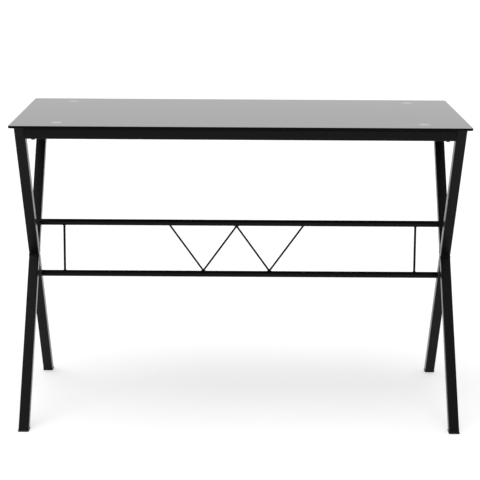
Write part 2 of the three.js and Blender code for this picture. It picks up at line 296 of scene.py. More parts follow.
def satin_steel():
    """Colour = broad clouds. Gloss and height = grain squeezed twelve times from top to bottom."""
    finish = Finish("satin_steel")
    grain = finish.noise(finish.place((1, 1, 12)), 2.5 * MM, 3)
    cloud = finish.noise(finish.place(), 11 * MM, 3)
    return finish.set({
        "Base Color": finish.blend(cloud, (0.44, 0.44, 0.45), (0.60, 0.60, 0.61)),
        "Metallic": 1.0,
        "Roughness": 0.24 + grain * 0.16,
        "Normal": finish.bump(grain, 0.02 * MM),
    })


def black_plastic():
    """Colour = black, greyer where the edge mark and blotches add up. Gloss and height = fine grain."""
    finish = Finish("black_plastic")
    here = finish.place()
    grain = finish.noise(here, 0.5 * MM, 2)
    scuffed = finish.band(finish.edge() * 0.4 + finish.noise(here, 6 * MM, 4) * 0.7, 0.5, 0.9)
    return finish.set({
        "Base Color": finish.blend(scuffed, (0.010, 0.010, 0.0105), (0.040, 0.040, 0.041)),
        "Roughness": 0.46 + grain * 0.14,
        "Specular IOR Level": 0.35,
        "Normal": finish.bump(grain, 0.04 * MM),
    })


def clear_rubber():
    """Colour, gloss and height all follow one soft cloud."""
    finish = Finish("clear_rubber")
    here = finish.place()
    cloud = finish.noise(here, 5 * MM, 3)
    return finish.set({
        "Base Color": finish.blend(cloud, (0.42, 0.44, 0.45), (0.60, 0.62, 0.62)),
        "Roughness": 0.30 + cloud * 0.25,
        "IOR": 1.43,
        "Transmission Weight": 0.7,
        "Normal": finish.bump(cloud, 0.03 * MM),
    })


zinc, steel, plastic, rubber = black_zinc(), satin_steel(), black_plastic(), clear_rubber()
print("finishes:", zinc.name, steel.name, plastic.name, rubber.name)

# %% [markdown]
# ## Surfaces from grids
# Everything on the desk is a section carried along something: a tube, a rod, a turned disc, a moulded foot.
# Such a shape is a grid of points, one row for each station and one column for each point of the section. If
# both directions close on themselves the grid is a hollow tube, and if only the section closes it is a solid
# bar that needs two end faces. Bevelled curves and the Spin tool could make the plain ones, but a grid takes
# any section. Working it out as one array is quick, and it leaves no seams.

# %% Grids
X_AXIS, Z_AXIS = 0, 2
ROUND_COLUMNS = 48


def grid_skin(points, hollow=False):
    """Quads between neighbouring rows and columns of points. A hollow skin closes last row to first, and a
    solid one gets a flat face at each end. The faces are turned round if the enclosed volume is negative."""
    rows, columns = points.shape[:2]
    i, j = np.meshgrid(np.arange(rows if hollow else rows - 1), np.arange(columns), indexing="ij")
    beside = (j + 1) % columns
    this_row, next_row = i * columns, (i + 1) % rows * columns
    quads = np.stack([this_row + j, this_row + beside, next_row + beside, next_row + j], -1).reshape(-1, 4)
    ends = [] if hollow else [np.arange(columns)[::-1], np.arange(columns) + (rows - 1) * columns]
    flat = points.reshape(-1, 3)
    middle = flat - flat.mean(0)
    a, b, c, d = (middle[quads[:, k]] for k in range(4))
    volume = np.einsum("ij,ij->", a, np.cross(b, c)) + np.einsum("ij,ij->", a, np.cross(c, d))
    for end in ends:
        fan = middle[end]
        volume += np.einsum("j,ij->", fan[0], np.cross(fan[1:-1], fan[2:]))
    faces = [face if volume > 0 else face[::-1] for face in (*quads, *ends)]
    return flat, faces


def rounded_rectangle(width, depth, radius, arc_steps=6):
    """Four quarter circles joined by straight sides. Also gives how deep in a corner each point lies: the
    sine of its way along the arc, which is 0 where the flats begin and 1 in the middle of the corner."""
    way = np.linspace(0, 1, arc_steps + 1)
    angle = (np.arange(4)[:, None] + way) * (math.pi / 2)
    centre = np.array([[1, 1], [-1, 1], [-1, -1], [1, -1]]) * (width / 2 - radius, depth / 2 - radius)
    points = centre[:, None] + radius * np.stack([np.cos(angle), np.sin(angle)], -1)
    corner = np.broadcast_to(np.sin(math.pi * way), angle.shape)
    return points.reshape(-1, 2), corner.ravel()


def circle(radius, count):
    """Points at equal angles, each the radius times the cosine and sine of its angle."""
    angle = np.arange(count) * (2 * math.pi / count)
    return radius * np.stack([np.cos(angle), np.sin(angle)], -1)


def points_of(x, y, z):
    """Points from three arrays of coordinates, any of which may be one number for all."""
    return np.stack(np.broadcast_arrays(x, y, z), -1)


def about_axis(axis, centre, across, along):
    """Each point is the centre, plus its two coordinates across the axis, plus its distance along it."""
    first, second = [k for k in range(3) if k != axis]
    points = np.empty((*across.shape[:-1], 3))
    points[..., axis] = centre[axis] + along
    points[..., first] = centre[first] + across[..., 0]
    points[..., second] = centre[second] + across[..., 1]
    return points


def turned(axis, centre, profile, columns=ROUND_COLUMNS):
    """Rows = circles round the axis, one for each (radius, distance along the axis) of the profile."""
    radius, along = np.array(profile).T
    return about_axis(axis, centre, radius[:, None, None] * circle(1, columns), along[:, None])


print("grid helpers ready, round parts have", ROUND_COLUMNS, "columns")

# %% [markdown]
# ## Bolt holes and finished pieces
# The legs and rails are drilled for their bolts. A round hole in the side of a tube is the one shape here
# that a grid can't hold, so a Boolean takes a round bar out of the tube. It is applied at once, because the
# bar isn't part of the desk and must not stay in the scene. Every mesh then becomes a piece in the same way:
# smooth except across sharp folds, and riding on the desk's only body.

# %% The drill
BOLT_HOLE, DRILL_COLUMNS = 3.5 * MM, 24


def mesh_of(name, skins):
    """One mesh from one or more skins. Each skin's faces count on from the points of the skins before it."""
    shift = np.cumsum([0] + [len(points) for points, _ in skins])
    faces = [(face + start).tolist() for (_, group), start in zip(skins, shift) for face in group]
    mesh = bpy.data.meshes.new(name)
    mesh.from_pydata(np.concatenate([points for points, _ in skins]).tolist(), [], faces)
    return mesh


def drill(mesh, axis, centre, length):
    """The mesh less a bar, whose two circles lie half the length to each side of the centre."""
    bar = turned(axis, centre, [(BOLT_HOLE, -length / 2), (BOLT_HOLE, length / 2)], DRILL_COLUMNS)
    cutter = new_object("drill", mesh_of("drill", [grid_skin(bar)]))
    blank = new_object("blank", mesh)
    hole = blank.modifiers.new("hole", "BOOLEAN")
    hole.object = cutter
    evaluated = blank.evaluated_get(bpy.context.evaluated_depsgraph_get())
    drilled = bpy.data.meshes.new_from_object(evaluated)
    for helper in (cutter, blank):
        used = helper.data
        bpy.data.objects.remove(helper)
        bpy.data.meshes.remove(used)
    return drilled


print("drill of radius", BOLT_HOLE)

# %% Pieces
SHARP_FOLD = math.radians(42)


def make_piece(name, skins, material, replaced=(), edge=None, weighted=True, holes=()):
    """A mesh from skins, with its edge marks, its finish and its bolt holes, that stands for CAD nodes."""
    mesh = mesh_of(name, skins)
    if edge is not None:
        layer = mesh.attributes.new("edge", "FLOAT", "POINT")
        layer.data.foreach_set("value", np.asarray(edge, np.float32).ravel())
    mesh.materials.append(material)
    for axis, centre, length in holes:
        mesh = drill(mesh, axis, centre, length)
    mesh.name = name
    mesh.shade_smooth()
    mesh.set_sharp_from_angle(angle=SHARP_FOLD)
    piece = new_object(name, mesh)
    if weighted:
        normals = piece.modifiers.new("weighted_normals", "WEIGHTED_NORMAL")
        normals.keep_sharp = True
    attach(piece, "root")
    if replaced:
        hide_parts(*replaced)
    return piece


print("folds sharper than", round(math.degrees(SHARP_FOLD)), "degrees stay sharp")

# %% [markdown]
# ## The glass
# A cut sheet has its corners ground round and a narrow bevel, the arris, run along both edges so that they
# can't chip or cut. The outline is the same rounded rectangle at every level, a little smaller at the faces.
# A Bevel modifier on a box could do it, but the rows of the grid say exactly how wide the arris is, and mark
# the ground band for the finish.

# %% The glass top
ARRIS, SOFT_EDGE, GLASS_CORNER = 0.8 * MM, 0.12 * MM, 8 * MM
CORNER_STEPS = 12
glass_low, glass_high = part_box("glass_top")


def glass_pane():
    """Rows = outline inset by the arris at the faces, full size between. Edge = 1 on the ground band."""
    width, depth = glass_high.x - glass_low.x, glass_high.y - glass_low.y
    low, high = glass_low.z, glass_high.z
    # Inset, distance from the face, and 1 where it is ground.
    rim = [
        (ARRIS + 1.5 * SOFT_EDGE, 0, 0), (ARRIS, 0.2 * SOFT_EDGE, 1), (SOFT_EDGE, ARRIS - SOFT_EDGE, 1),
        (0, ARRIS + SOFT_EDGE, 1),
    ]
    levels = [(inset, low + inward, edge) for inset, inward, edge in rim]
    levels += [(inset, high - inward, edge) for inset, inward, edge in reversed(rim)]
    rows, ground = [], []
    for inset, z, edge in levels:
        outline, _ = rounded_rectangle(
            width - 2 * inset, depth - 2 * inset, GLASS_CORNER - inset, CORNER_STEPS
        )
        rows.append(points_of(*outline.T, z))
        ground.append(np.full(len(outline), edge))
    return make_piece("glass_pane", [grid_skin(np.array(rows))], glass, ["glass_top"], ground)


pane = glass_pane()
print(pane.name, "has", len(pane.data.polygons), "faces")

# %% [markdown]
# ## Measures of the frame
# The tubes are all one section, 25 mm square with corners rolled to a small radius. Each leg is cut level at
# both ends, so its lean follows from the box of the long leg: the box is as wide as the leg's reach plus its
# own level cut. Working these out from the frame keeps every weld and tube in line with the CAD.

# %% Lean, crossing and stretchers
rail_low, rail_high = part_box("front_rail")
tube = rail_high.y - rail_low.y
leg_low, leg_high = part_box("left_long_leg")
reach, rise = leg_high.y - leg_low.y, leg_high.z - leg_low.z
# Solved from reach = rise * tan(lean) + tube / cos(lean).
lean = math.acos(tube / math.hypot(reach, rise)) - math.atan2(rise, reach)
slope = math.tan(lean)
stretch = 1 / math.cos(lean)
crossing = leg_high.z + (leg_low.y + tube * stretch / 2) / slope
side_x = (leg_high.x + leg_low.x) / 2


def axis_of(node):
    """Middle of a node's box and its half sizes."""
    low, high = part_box(node)
    return (low + high) / 2, (high - low) / 2


upper_axis, upper_half = axis_of("upper_stretcher")
lower_axis, _ = axis_of("lower_stretcher")
stretcher_radius = upper_half.z
print("lean", round(math.degrees(lean), 2), "degrees, crossing at", round(crossing, 4))

# %% [markdown]
# ## Square tubes
# A tube is two rounded squares, one inside the other, carried from end to end and joined across both ends: a
# skin with an inside and an outside. A solid bar bored out with a Boolean would be the same shape with poorer
# edges, so only the bolt holes are cut that way. The leg's section is sheared instead of turned, because its
# ends are level.

# %% Tubes and their cuts
TUBE_WALL, TUBE_CORNER, WELD_GAP = 1.5 * MM, 2.5 * MM, 0.3 * MM
outer, outer_corner = rounded_rectangle(tube, tube, TUBE_CORNER)
bore = tube - 2 * TUBE_WALL
inner, _ = rounded_rectangle(bore, bore, TUBE_CORNER - TUBE_WALL)


def tube_piece(name, node, carry, holes=()):
    """Rows = outer ring at each end, then inner ring at each end, back to the start. Edge = how deep in a
    corner each outer point lies."""
    rows = np.array([carry(outer, 0.0), carry(outer, 1.0), carry(inner, 1.0), carry(inner, 0.0)])
    edge = np.stack([outer_corner, outer_corner, 0 * outer_corner, 0 * outer_corner])
    skin = grid_skin(rows, hollow=True)
    return make_piece(name, [skin], coat, [node], edge, holes=holes)


def leg_carry(x, way, bottom, top):
    """The middle of a leg at height z lies at way * slope * (z - crossing). A section point keeps its place
    across and is stretched front to back, because the section is level. Bottom and top may vary with it."""
    def carry(section, along):
        offset = section[:, 1] * stretch
        z = (1 - along) * bottom(offset) + along * top(offset)
        return points_of(x + section[:, 0], way * slope * (z - crossing) + offset, z)
    return carry


joint = tube * stretch / 2 + WELD_GAP * stretch


def above_crossing(offset):
    """Where an upper half leg meets the back face of the long leg: both lean formulas give the same y."""
    return crossing + (joint - offset) / (2 * slope)


def below_crossing(offset):
    """Where a lower half leg meets the front face of the long leg."""
    return crossing - (joint + offset) / (2 * slope)


def on_foot(offset):
    """Level, at the lower end of every leg that stands on a foot."""
    return leg_low.z + 0 * offset


def at_top(offset):
    """Level, at the upper end of every leg under the glass."""
    return leg_high.z + 0 * offset


print("weld gap", WELD_GAP, "wall", TUBE_WALL)

# %% The legs
SIDES = {"left": -1, "right": 1}
ENDS = {"front": -1, "back": 1}
half_leg_carries = {}

for side, sign in SIDES.items():
    x = sign * abs(side_x)
    long_carry = leg_carry(x, -1, on_foot, at_top)
    upper_half_carry = leg_carry(x, 1, above_crossing, at_top)
    lower_half_carry = leg_carry(x, 1, on_foot, below_crossing)
    half_leg_carries[side] = (upper_half_carry, lower_half_carry)
    # A bar twice as long as the tube is wide goes through both walls.
    upper_hole = (X_AXIS, (x, upper_axis.y, upper_axis.z), 2 * tube)
    lower_hole = (X_AXIS, (x, lower_axis.y, lower_axis.z), 2 * tube)
    tube_piece(side + "_long_leg_tube", side + "_long_leg", long_carry, [lower_hole])
    tube_piece(side + "_upper_half_leg_tube", side + "_upper_half_leg", upper_half_carry, [upper_hole])
    tube_piece(side + "_lower_half_leg_tube", side + "_lower_half_leg", lower_half_carry)

print("legs made at", round(abs(side_x), 4), "from the middle")

# %% The rails
rail_z = (rail_low.z + rail_high.z) / 2
side_rail_carries = {}


def side_rail_carry(x):
    """Along y, at each height z, from the face of one leg to the face of the other."""
    def carry(section, along):
        z = rail_z + section[:, 0]
        half = slope * (z - crossing) - joint
        return points_of(x + section[:, 1], (2 * along - 1) * half, z)
    return carry


def cross_rail_carry(node):
    """Along x, from end to end of the node's box."""
    middle, half = axis_of(node)

    def carry(section, along):
        x = middle.x + (2 * along - 1) * half.x
        return points_of(x, middle.y + section[:, 0], middle.z + section[:, 1])
    return carry


for side, sign in SIDES.items():
    side_rail_carries[side] = side_rail_carry(sign * abs(side_x))
    tube_piece(side + "_side_rail_tube", side + "_side_rail", side_rail_carries[side])
for end in ENDS:
    holes = []
    for side in SIDES:
        bolt, _ = axis_of(f"{side}_{end}_rail_bolt")
        # From this centre half a tube's width reaches the bore, so only the lower wall is drilled.
        holes.append((Z_AXIS, (bolt.x, bolt.y, rail_low.z), tube))
    tube_piece(end + "_rail_tube", end + "_rail", cross_rail_carry(end + "_rail"), holes)
print("rails made at height", round(rail_z, 4))

# %% [markdown]
# ## The truss
# Two round tubes run between the side frames, with an upright rod near each end and one long rod bent into a
# zigzag in the middle. The zigzag is a line with its corners rounded: each corner is replaced by an arc that
# touches both sides. Where a rod meets a tube it is cut to a saddle, which is the height at which the rod's
# own point lands on the tube's surface. A curve object with a bevel would give the rod but not the saddle.

# %% Stretchers and end rods
STRETCHER_WALL, ROD_COLUMNS = 1.5 * MM, 24


def stretcher(node):
    """Profile = outer radius at each end, then inner radius at each end, back to the start."""
    middle, half = axis_of(node)
    inside = stretcher_radius - STRETCHER_WALL
    profile = [(stretcher_radius, -half.x), (stretcher_radius, half.x), (inside, half.x), (inside, -half.x)]
    skin = grid_skin(turned(X_AXIS, middle, profile), hollow=True)
    return make_piece(node + "_tube", [skin], coat, [node])


def saddle(y, axis):
    """Height of a stretcher's surface above its axis: root of (radius squared less distance in y squared)."""
    return np.sqrt(np.maximum(stretcher_radius ** 2 - (y - axis.y) ** 2, 0))


def end_rod(name, node):
    """Rows = circles whose heights are the saddles of the lower and the upper stretcher."""
    middle, half = axis_of(node)
    ring = circle(half.x, ROD_COLUMNS) + (middle.x, upper_axis.y)
    low = lower_axis.z + saddle(ring[:, 1], lower_axis)
    high = upper_axis.z - saddle(ring[:, 1], upper_axis)
    rows = np.array([points_of(*ring.T, low), points_of(*ring.T, high)])
    return make_piece(name, [grid_skin(rows)], coat, [node])


stretcher("upper_stretcher")
stretcher("lower_stretcher")
for side in SIDES:
    end_rod(side + "_end_rod_bar", side + "_end_rod")
print("stretchers at", round(upper_axis.z, 4), round(lower_axis.z, 4), "radius", round(stretcher_radius, 4))

# %% The zigzag
ZIGZAG_INNER_BEND, ZIGZAG_PITCH, ZIGZAG_COLUMNS = 1 * MM, 85.5 * MM, 20
zigzag_middle, zigzag_half = axis_of("zigzag_rod")
zigzag_radius = zigzag_half.y
zigzag_bend = ZIGZAG_INNER_BEND + zigzag_radius


def rounded_line(corners, radius, steps=10):
    """Each inner corner becomes an arc of the radius that touches both sides. Its centre lies on the line
    halfway between the sides, radius / sin(half angle) away, and the arc turns by pi less the whole angle."""
    points = [corners[0]]
    for before, corner, after in zip(corners, corners[1:], corners[2:]):
        back = (before - corner) / np.linalg.norm(before - corner)
        onward = (after - corner) / np.linalg.norm(after - corner)
        half_angle = math.acos(np.clip(back @ onward, -1, 1)) / 2
        bisector = (back + onward) / np.linalg.norm(back + onward)
        centre = corner + bisector * (radius / math.sin(half_angle))
        first = corner + back * (radius / math.tan(half_angle)) - centre
        last = corner + onward * (radius / math.tan(half_angle)) - centre
        sweep = math.pi - 2 * half_angle
        turned_by = np.linspace(0, sweep, steps + 1)[:, None]
        arc = first * np.sin(sweep - turned_by) + last * np.sin(turned_by)
        points.extend(centre + arc / math.sin(sweep))
    points.append(corners[-1])
    return np.array(points)


def zigzag_line():
    """Sharp corners lie beyond the bends, so that the bent rod just touches both stretchers."""
    clear = stretcher_radius + WELD_GAP + zigzag_radius
    low, high = lower_axis.z + clear, upper_axis.z - clear
    overshoot = zigzag_bend * (1 / math.sin(math.atan(ZIGZAG_PITCH / (high - low))) - 1)
    low, high = low - overshoot, high + overshoot
    run = ZIGZAG_PITCH * (upper_axis.z - low) / (high - low)
    x = np.array([-ZIGZAG_PITCH - run, -ZIGZAG_PITCH, 0, ZIGZAG_PITCH, ZIGZAG_PITCH + run])
    z = np.array([upper_axis.z, low, high, low, upper_axis.z])
    return np.column_stack([zigzag_middle.x + x, z])


def zigzag():
    """Rows = circle in the plane across the line. The end circles slide along the line to the saddle."""
    line = rounded_line(zigzag_line(), zigzag_bend)
    heading = np.gradient(line, axis=0)
    heading /= np.linalg.norm(heading, axis=1)[:, None]
    side = np.column_stack([heading[:, 1], -heading[:, 0]])
    ring = circle(zigzag_radius, ZIGZAG_COLUMNS)
    x = line[:, None, 0] + side[:, None, 0] * ring[None, :, 0]
    z = line[:, None, 1] + side[:, None, 1] * ring[None, :, 0]
    y = np.broadcast_to(upper_axis.y + ring[:, 1], x.shape)
    for end in (0, -1):
        slide = (upper_axis.z - saddle(y[end], upper_axis) - z[end]) / heading[end, 1]
        x[end] += slide * heading[end, 0]
        z[end] += slide * heading[end, 1]
    skin = grid_skin(points_of(x, y, z))
    return make_piece("zigzag_bar", [skin], coat, ["zigzag_rod"], weighted=False)


zigzag_piece = zigzag()
print(zigzag_piece.name, "spans", round(zigzag_piece.dimensions.x, 4))

# %% [markdown]
# ## Weld beads
# The side frames, the rods and the glass tabs are welded, and the coat goes over the welds, so they show as
# soft ridges with the ripples of the puddle. A bead is a flattened circle carried along the joint. Its radius
# swells and shrinks every couple of millimetres, and it tapers where it starts and stops. Bump mapping could
# fake the ripples but not the fillet that fills the corner between two tubes.

# %% The bead
RIPPLE_LENGTH, RIPPLE, SWELL_LENGTH, SWELL = 2.6 * MM, 0.13, 12 * MM, 0.06
BEAD_STEP, BEAD_COLUMNS, TAPER = 0.65 * MM, 10, 1.6


def resample(path, step):
    """The same line with points every step or so, by its running length."""
    lengths = np.r_[0, np.cumsum(np.linalg.norm(np.diff(path, axis=0), axis=1))]
    stations = np.linspace(0, lengths[-1], max(int(lengths[-1] / step), 4) + 1)
    return np.column_stack([np.interp(stations, lengths, path[:, k]) for k in range(3)]), stations


def bead(path, along, width, height, closed=False):
    """Rows = ellipses across the path, their long way towards the direction along. Their size is 1 plus a
    short ripple and a slow swell of the running length. On an open bead it falls along a quarter circle, as
    long as TAPER widths, to a tenth at each end."""
    if closed:
        path = np.vstack([path, path[:1]])
    points, stations = resample(path, BEAD_STEP)
    if closed:
        points, stations = points[:-1], stations[:-1]
        heading = np.roll(points, -1, 0) - np.roll(points, 1, 0)
    else:
        heading = np.gradient(points, axis=0)
    heading /= np.linalg.norm(heading, axis=1)[:, None]
    out = np.cross(heading, along)
    out /= np.linalg.norm(out, axis=1)[:, None]
    flat = np.cross(heading, out)
    turns = 2 * math.pi * stations
    size = 1 + RIPPLE * np.sin(turns / RIPPLE_LENGTH) + SWELL * np.sin(turns / SWELL_LENGTH)
    if not closed:
        inward = np.clip(np.minimum(stations, stations[-1] - stations) / (TAPER * width), 0, 1)
        size = size * np.maximum(np.sqrt(inward * (2 - inward)), 0.1)
    ring = circle(1, BEAD_COLUMNS)
    rows = points[:, None] + size[:, None, None] * (
        out[:, None] * (ring[:, 0, None] * height) + flat[:, None] * (ring[:, 1, None] * width)
    )
    return grid_skin(rows, hollow=closed)


print("bead helpers ready")

# %% The welds of the side frames
LEG_BEAD, RAIL_BEAD = (2.0 * MM, 0.8 * MM), (1.7 * MM, 0.7 * MM)
UP, BACK = np.array([0, 0, 1.0]), np.array([0, 1.0, 0])
up_leg = math.cos(lean) * UP + math.sin(lean) * BACK

for side in SIDES:
    upper_half_carry, lower_half_carry = half_leg_carries[side]
    rail_carry = side_rail_carries[side]
    skins = [
        bead(upper_half_carry(outer, 0.0), up_leg, *LEG_BEAD, closed=True),
        bead(lower_half_carry(outer, 1.0), up_leg, *LEG_BEAD, closed=True),
        bead(rail_carry(outer, 0.0), BACK, *RAIL_BEAD, closed=True),
        bead(rail_carry(outer, 1.0), BACK, *RAIL_BEAD, closed=True),
    ]
    piece = make_piece(side + "_frame_welds", skins, coat, weighted=False)
    print(piece.name, len(piece.data.polygons), "faces")

# %% The welds of the truss
ROD_BEAD, TOUCH_BEAD = (1.1 * MM, 1.1 * MM), (1.2 * MM, 1.2 * MM)
TOUCH_REACH, TOUCH_ASIDE, TOUCH_POINTS = 6 * MM, 0.76, 9


def saddle_path(x, radius, axis, way):
    """Where an upright rod of that radius meets a stretcher: under it if way is -1, on top of it if 1."""
    ring = circle(radius, ROD_COLUMNS) + (x, axis.y)
    return points_of(*ring.T, axis.z + way * saddle(ring[:, 1], axis))


def touch_paths(x, z):
    """Two short runs, in front of and behind a bend that touches a stretcher, TOUCH_ASIDE of the rod's radius
    away from its middle."""
    along = np.linspace(-TOUCH_REACH, TOUCH_REACH, TOUCH_POINTS)
    aside = TOUCH_ASIDE * zigzag_radius
    return [points_of(x + along, upper_axis.y + y, z) for y in (-aside, aside)]


def truss_welds():
    """A closed bead round each end of the end rods, and two open ones at each bend that meets a stretcher."""
    skins = []
    for side in SIDES:
        middle, half = axis_of(side + "_end_rod")
        for axis, way in ((upper_axis, -1), (lower_axis, 1)):
            path = saddle_path(middle.x, half.x, axis, way)
            skins.append(bead(path, UP, *ROD_BEAD, closed=True))
    first_low, high, last_low = zigzag_line()[1:4, 0]
    on_lower, under_upper = lower_axis.z + stretcher_radius, upper_axis.z - stretcher_radius
    for x, z in ((first_low, on_lower), (high, under_upper), (last_low, on_lower)):
        for path in touch_paths(x, z):
            skins.append(bead(path, UP, *TOUCH_BEAD))
    return make_piece("truss_welds", skins, coat, weighted=False)


truss_weld_piece = truss_welds()
print(truss_weld_piece.name, len(truss_weld_piece.data.polygons), "faces")

# %% [markdown]
# ## Screws
# The rails, the stretchers and the glass are held by button-head screws with a hexagon socket. Turned parts
# are a profile spun about an axis, which the Spin or Screw tool can do, but the socket isn't round and the
# thread climbs. On a grid both are simple: the radius of a row may depend on the angle.

# %% The button-head screw
HEAD_RADIUS, HEAD_HEIGHT, HEAD_RIM, HEAD_FLAT = 5.25 * MM, 3.4 * MM, 1.0 * MM, 2.75 * MM
SHANK_RADIUS, THREAD_PITCH, THREAD_DEPTH, TIP_CHAMFER = 3.0 * MM, 1.0 * MM, 0.55 * MM, 0.8 * MM
SOCKET_HALF_WIDTH, SOCKET_DEPTH, SOCKET_CHAMFER = 2.0 * MM, 2.1 * MM, 0.25 * MM
SOCKET_POINT, POINT_RADIUS = 0.5 * MM, 0.4 * MM
NECK, RUN_OUT, ROUNDING = 0.4 * MM, 0.1 * MM, 0.15 * MM
SCREW_COLUMNS, ROWS_PER_TURN, DOME_ROWS = 36, 6, 7


def screw_rows(length):
    """Radius over the angle at each height. Thread: radius falls by a triangle wave of (height / pitch -
    angle / full turn). Head: an elliptic dome over the rim, up to a flat ring. Socket: half width /
    cos(angle to the middle of the nearest flat). Rubbed: 0 below the rim, and more towards the socket."""
    angle = np.arange(SCREW_COLUMNS) * (2 * math.pi / SCREW_COLUMNS)
    one = np.ones(SCREW_COLUMNS)
    z = np.arange(-length + TIP_CHAMFER, -NECK, THREAD_PITCH / ROWS_PER_TURN)
    wave = (z[:, None] / THREAD_PITCH - angle / (2 * math.pi)) % 1
    thread = SHANK_RADIUS - THREAD_DEPTH * np.abs(2 * wave - 1)
    hexagon = SOCKET_HALF_WIDTH / np.cos((angle + math.pi / 6) % (math.pi / 3) - math.pi / 6)
    last = math.acos(HEAD_FLAT / HEAD_RADIUS)
    dome = np.linspace(0, last, DOME_ROWS)
    dome_z = HEAD_RIM + (HEAD_HEIGHT - HEAD_RIM) * np.sin(dome) / math.sin(last)
    rows = [(-length, (SHANK_RADIUS - TIP_CHAMFER) * one)]
    rows += list(zip(z, thread))
    rows += [(-NECK + RUN_OUT, SHANK_RADIUS * one), (0, SHANK_RADIUS * one)]
    rows += [(0, (HEAD_RADIUS - ROUNDING) * one), (ROUNDING, HEAD_RADIUS * one)]
    rows += [(z_here, HEAD_RADIUS * math.cos(a) * one) for z_here, a in zip(dome_z, dome)]
    rows += [(HEAD_HEIGHT, (HEAD_FLAT - ROUNDING) * one), (HEAD_HEIGHT - SOCKET_CHAMFER, hexagon)]
    socket_floor = HEAD_HEIGHT - SOCKET_DEPTH
    rows += [(socket_floor, hexagon), (socket_floor - SOCKET_POINT, POINT_RADIUS * one)]
    height = np.array([row[0] for row in rows])[:, None]
    radius = np.array([row[1] for row in rows])
    across = np.stack([radius * np.cos(angle), radius * np.sin(angle)], -1)
    rubbed = np.where(height > HEAD_RIM, 1.35 - radius / HEAD_RADIUS, 0)
    return across, height, rubbed


def screw(name, node, axis, outward):
    """The seat of the head lies the head's height inside the outer face of the node's box."""
    low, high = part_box(node)
    seat = np.array((low + high) / 2)
    seat[axis] = (high if outward > 0 else low)[axis] - outward * HEAD_HEIGHT
    across, height, rubbed = screw_rows(high[axis] - low[axis] - HEAD_HEIGHT)
    skin = grid_skin(about_axis(axis, seat, across, outward * height))
    return make_piece(name, [skin], zinc, [node], rubbed, weighted=False)


screws = []
for side, sign in SIDES.items():
    for row in ("upper", "lower"):
        screws.append(screw(f"{side}_{row}_stretcher_screw", f"{side}_{row}_stretcher_bolt", X_AXIS, sign))
    for end in ENDS:
        screws.append(screw(f"{side}_{end}_rail_screw", f"{side}_{end}_rail_bolt", Z_AXIS, -1))
        screws.append(screw(f"{side}_{end}_disc_screw", f"{side}_{end}_glass_screw", Z_AXIS, -1))
print(len(screws), "screws with", SCREW_COLUMNS, "columns each")

# %% [markdown]
# ## Discs, adhesive and tabs
# A steel disc is bonded under each corner of the glass with clear adhesive, and a screw pulls it down on a
# tab welded to the rail. The disc is a turned profile with chamfered edges and a blind hole. The tab is a
# plate whose outline is seen from its hole: the distance to its edge is a formula of the angle, half round
# and half square, so the plate's top, rim and hole are one grid.

# %% Discs and adhesive
DISC_CHAMFER, DISC_HOLE, DISC_CAP = 0.4 * MM, 3.2 * MM, 0.8 * MM
# How far beyond the disc, and at what share of the gap.
ADHESIVE_RIM = [(-0.6 * MM, 0.1), (-0.1 * MM, 0.3), (0.5 * MM, 0.92), (-0.6 * MM, 0.95)]
glass_bottom = glass_low.z


def glass_disc(name, node):
    """Profile = up the blind hole's wall from its cap, across the lower face, and up the rim to the top."""
    low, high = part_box(node)
    centre, radius, thick = (low + high) / 2, (high.x - low.x) / 2, high.z - low.z
    profile = [
        (DISC_HOLE, thick - DISC_CAP), (DISC_HOLE, DISC_CHAMFER), (DISC_HOLE + DISC_CHAMFER, 0),
        (radius - DISC_CHAMFER, 0), (radius, DISC_CHAMFER), (radius, thick - DISC_CHAMFER),
        (radius - DISC_CHAMFER, thick),
    ]
    skin = grid_skin(turned(Z_AXIS, (centre.x, centre.y, low.z), profile))
    return make_piece(name, [skin], steel, [node])


def adhesive(name, node):
    """Profile = the rim's points, beyond the disc's radius and up the gap between disc and glass."""
    low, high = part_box(node)
    centre, radius, gap = (low + high) / 2, (high.x - low.x) / 2, glass_bottom - high.z
    profile = [(radius + beyond, share * gap) for beyond, share in ADHESIVE_RIM]
    skin = grid_skin(turned(Z_AXIS, (centre.x, centre.y, high.z), profile))
    return make_piece(name, [skin], rubber)


for side in SIDES:
    for end in ENDS:
        glass_disc(f"{side}_{end}_bonded_disc", f"{side}_{end}_glass_disc")
        adhesive(f"{side}_{end}_adhesive", f"{side}_{end}_glass_disc")
print("discs bonded at height", round(glass_bottom, 4))

# %% Tabs and their welds
TAB_HOLE, TAB_ROUND = 3.5 * MM, 0.4 * MM
TAB_WELD, TAB_BEAD = 28 * MM, (1.5 * MM, 1.5 * MM)
TAB_STEPS, TINY = (8, 16, 8, 36), 1e-9


def tab_outline(radius, reach):
    """Distance from the hole to the edge: the radius on the free side, and on the rail's side the nearer of
    radius / |cos| and reach / sin, which is a rectangle as seen from the hole."""
    corner = math.atan2(reach, radius)
    turns = [0, corner, math.pi - corner, math.pi, 2 * math.pi]
    parts = zip(turns, turns[1:], TAB_STEPS)
    angle = np.concatenate([np.linspace(first, last, steps, endpoint=False) for first, last, steps in parts])
    across, out = np.abs(np.cos(angle)), np.sin(angle)
    box = np.minimum(radius / np.maximum(across, TINY), reach / np.maximum(out, TINY))
    return angle, np.where(out > TINY, box, radius)


def tab_skin(x, y, low, high, reach, end_sign):
    """Rows = edge and hole outlines with their rims rounded, closed into one ring."""
    angle, edge = tab_outline((high.x - low.x) / 2, reach)
    hole = np.full(len(angle), TAB_HOLE)
    levels = [
        (edge - TAB_ROUND, low.z), (edge, low.z + TAB_ROUND), (edge, high.z - TAB_ROUND),
        (edge - TAB_ROUND, high.z), (hole + TAB_ROUND, high.z), (hole, high.z - TAB_ROUND),
        (hole, low.z + TAB_ROUND), (hole + TAB_ROUND, low.z),
    ]
    rows = [points_of(x + r * np.cos(angle), y + end_sign * r * np.sin(angle), z) for r, z in levels]
    return grid_skin(np.array(rows), hollow=True)


